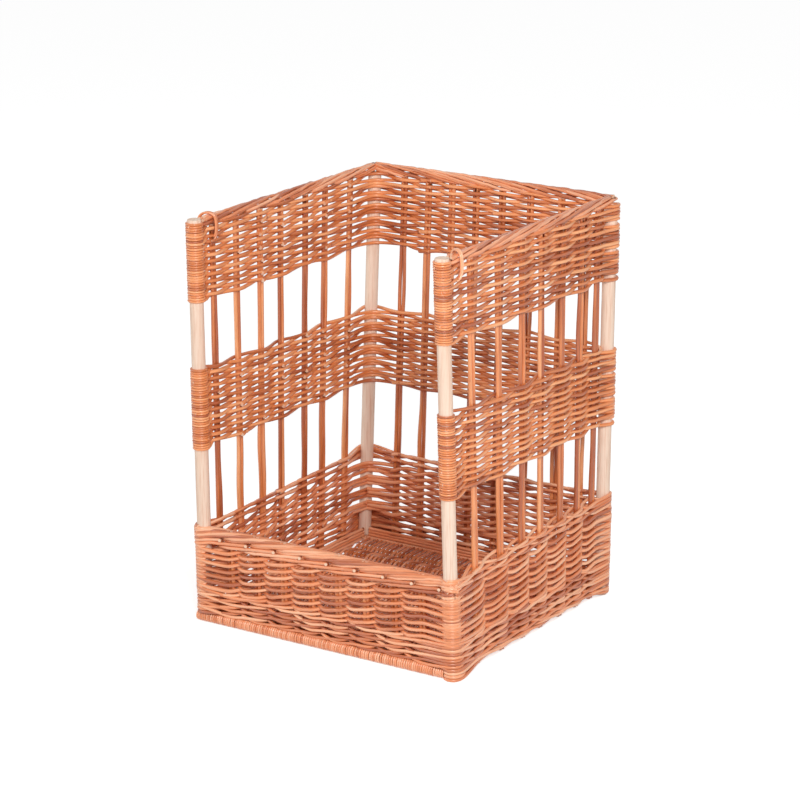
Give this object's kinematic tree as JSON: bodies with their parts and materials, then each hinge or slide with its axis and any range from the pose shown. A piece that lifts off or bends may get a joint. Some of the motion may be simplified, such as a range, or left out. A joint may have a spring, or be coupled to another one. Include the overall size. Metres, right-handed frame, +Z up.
{
  "type": "baguette stand",
  "caption": "Woven willow stand for long loaves: round wooden corner posts, paired stakes, an open front, a deep tray at the foot and two woven bands round three sides.",
  "frame": {"origin": "on the floor, in the middle of the stand", "axes": "+Z up, +Y towards the closed back, -Y towards the open front, +X to the right seen from the front"},
  "size_m": [0.4512, 0.4797, 0.6057],
  "materials": {
    "peeled_post_wood": "peeled and sanded, bare",
    "willow_stake": "boiled willow rod, satin skin",
    "willow_weave": "boiled willow rod, satin skin",
    "willow_border": "boiled willow rod, satin skin"
  },
  "bodies": {
    "root": {"post_front_left": "peeled_post_wood", "post_back_left": "peeled_post_wood", "post_back_right": "peeled_post_wood", "post_front_right": "peeled_post_wood", "stake_pair_left_1": "willow_stake", "stake_pair_left_2": "willow_stake", "stake_pair_left_3": "willow_stake", "stake_pair_left_4": "willow_stake", "stake_pair_left_5": "willow_stake", "stake_pair_left_6": "willow_stake", "stake_pair_left_7": "willow_stake", "stake_pair_back_1": "willow_stake", "stake_pair_back_2": "willow_stake", "stake_pair_back_3": "willow_stake", "stake_pair_back_4": "willow_stake", "stake_pair_back_5": "willow_stake", "stake_pair_back_6": "willow_stake", "stake_pair_back_7": "willow_stake", "stake_pair_back_8": "willow_stake", "stake_pair_right_1": "willow_stake", "stake_pair_right_2": "willow_stake", "stake_pair_right_3": "willow_stake", "stake_pair_right_4": "willow_stake", "stake_pair_right_5": "willow_stake", "stake_pair_right_6": "willow_stake", "stake_pair_right_7": "willow_stake", "stake_pair_front_1": "willow_stake", "stake_pair_front_2": "willow_stake", "stake_pair_front_3": "willow_stake", "stake_pair_front_4": "willow_stake", "stake_pair_front_5": "willow_stake", "stake_pair_front_6": "willow_stake", "stake_pair_front_7": "willow_stake", "stake_pair_front_8": "willow_stake", "base_stick_01": "willow_stake", "base_stick_02": "willow_stake", "base_stick_03": "willow_stake", "base_stick_04": "willow_stake", "base_stick_05": "willow_stake", "base_stick_06": "willow_stake", "base_stick_07": "willow_stake", "base_stick_08": "willow_stake", "base_stick_09": "willow_stake", "base_stick_10": "willow_stake", "base_stick_11": "willow_stake", "base_stick_12": "willow_stake", "base_stick_13": "willow_stake", "base_weave": "willow_weave", "tray_foot_wale": "willow_weave", "tray_weave": "willow_weave", "tray_front_border": "willow_weave", "middle_band": "willow_weave", "top_band": "willow_weave", "top_border_rod_1": "willow_border", "top_border_rod_2": "willow_border", "top_border_rod_3": "willow_border", "border_tie_left": "willow_border", "border_tie_right": "willow_border"}
  },
  "joints": []
}
